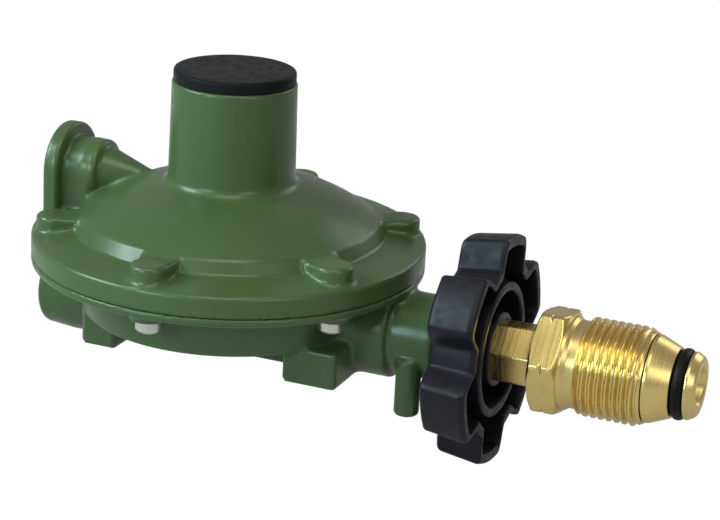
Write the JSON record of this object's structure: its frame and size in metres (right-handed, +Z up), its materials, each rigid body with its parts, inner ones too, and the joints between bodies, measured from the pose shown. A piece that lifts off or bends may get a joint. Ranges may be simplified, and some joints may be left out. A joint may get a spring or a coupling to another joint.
{
  "type": "lp gas regulator",
  "caption": "Low-pressure LP gas regulator with a diaphragm casing, spring tower, vent, pipe outlet and a hand-wheel POL cylinder connector.",
  "frame": {"origin": "on the diaphragm casing's axis, at the height of the underside of the feet", "axes": "+Z up along the diaphragm casing and spring tower; +X along the gas line towards the cylinder connector; outlet and vent towards -X"},
  "size_m": [0.1608, 0.092, 0.0819],
  "materials": {
    "enamelled_casting": "glossy green enamel over a die casting",
    "brass": "bright machined",
    "black_plastic": "moulded, satin",
    "black_cap": "moulded, lightly textured",
    "seal_rubber": "smooth",
    "relief_rubber": "smooth",
    "zinc": "bright zinc plate",
    "steel": "bright",
    "spring_steel": "drawn wire",
    "sintered_bronze": "sintered"
  },
  "bodies": {
    "casing": {"bonnet": "enamelled_casting", "lower_body": "enamelled_casting", "casing_screws": "zinc", "inlet_nozzle": "brass", "lever_pin": "steel", "vent_screen": "steel", "vent_ring": "steel", "inlet_filter": "sintered_bronze", "pol_nipple": "brass", "seal_ring": "seal_rubber", "diaphragm": "seal_rubber", "main_spring": "spring_steel"},
    "pusher": {"pusher_post": "brass", "relief_seat": "relief_rubber", "relief_nut": "zinc", "relief_spring": "spring_steel"},
    "plate": {"diaphragm_plate": "zinc"},
    "lever": {"lever": "steel"},
    "valve": {"valve_stem": "brass", "valve_disc": "seal_rubber"},
    "spring_seat": {"upper_spring_seat": "zinc"},
    "adjuster": {"adjusting_screw": "black_plastic"},
    "gasket": {"cap_gasket": "seal_rubber"},
    "cap": {"closing_cap": "black_cap"},
    "coupling_nut": {"pol_nut": "brass", "handwheel": "black_plastic"}
  },
  "joints": [
    {"name": "diaphragm_stroke", "type": "slide", "parent": "casing", "child": "pusher", "axis": [0, 0, 1], "range_m": [0, 0.004], "stiffness_N_per_m": 800, "springref_m": -0.015, "deforming": ["diaphragm", "main_spring"]},
    {"name": "relief_lift", "type": "slide", "parent": "pusher", "child": "plate", "axis": [0, 0, 1], "range_m": [0, 0.0015], "stiffness_N_per_m": 3000, "springref_m": -0.003, "deforming": ["diaphragm", "main_spring", "relief_spring"]},
    {"name": "lever_pivot", "type": "hinge", "parent": "casing", "child": "lever", "pos_m": [-0.02, 0, 0.015], "axis": [0, -1, 0], "range_deg": [0, 12]},
    {"name": "valve_travel", "type": "slide", "parent": "casing", "child": "valve", "axis": [1, 0, 0], "range_m": [0, 0.001]},
    {"name": "spring_seat_travel", "type": "slide", "parent": "casing", "child": "spring_seat", "axis": [0, 0, 1], "range_m": [-0.006, 0.001], "deforming": ["main_spring"]},
    {"name": "adjuster_turn", "type": "hinge", "parent": "spring_seat", "child": "adjuster", "pos_m": [0, 0, 0.053], "axis": [0, 0, 1], "range_deg": [-1440, 240]},
    {"name": "cap_travel", "type": "slide", "parent": "casing", "child": "gasket", "axis": [0, 0, 1], "range_m": [0, 0.00525]},
    {"name": "cap_unscrew", "type": "hinge", "parent": "gasket", "child": "cap", "pos_m": [0, 0, 0.06], "axis": [0, 0, 1], "range_deg": [0, 1260]},
    {"name": "handwheel_turn", "type": "hinge", "parent": "casing", "child": "coupling_nut", "pos_m": [0.075, 0, 0.01], "axis": [1, 0, 0], "continuous": true}
  ],
  "couplings": [
    {"joint": "lever_pivot", "follows": "diaphragm_stroke", "rad_per_m": 50},
    {"joint": "valve_travel", "follows": "diaphragm_stroke", "ratio": 0.25},
    {"joint": "spring_seat_travel", "follows": "adjuster_turn", "m_per_rad": 0.00023873},
    {"joint": "cap_travel", "follows": "cap_unscrew", "m_per_rad": 0.00023873}
  ]
}
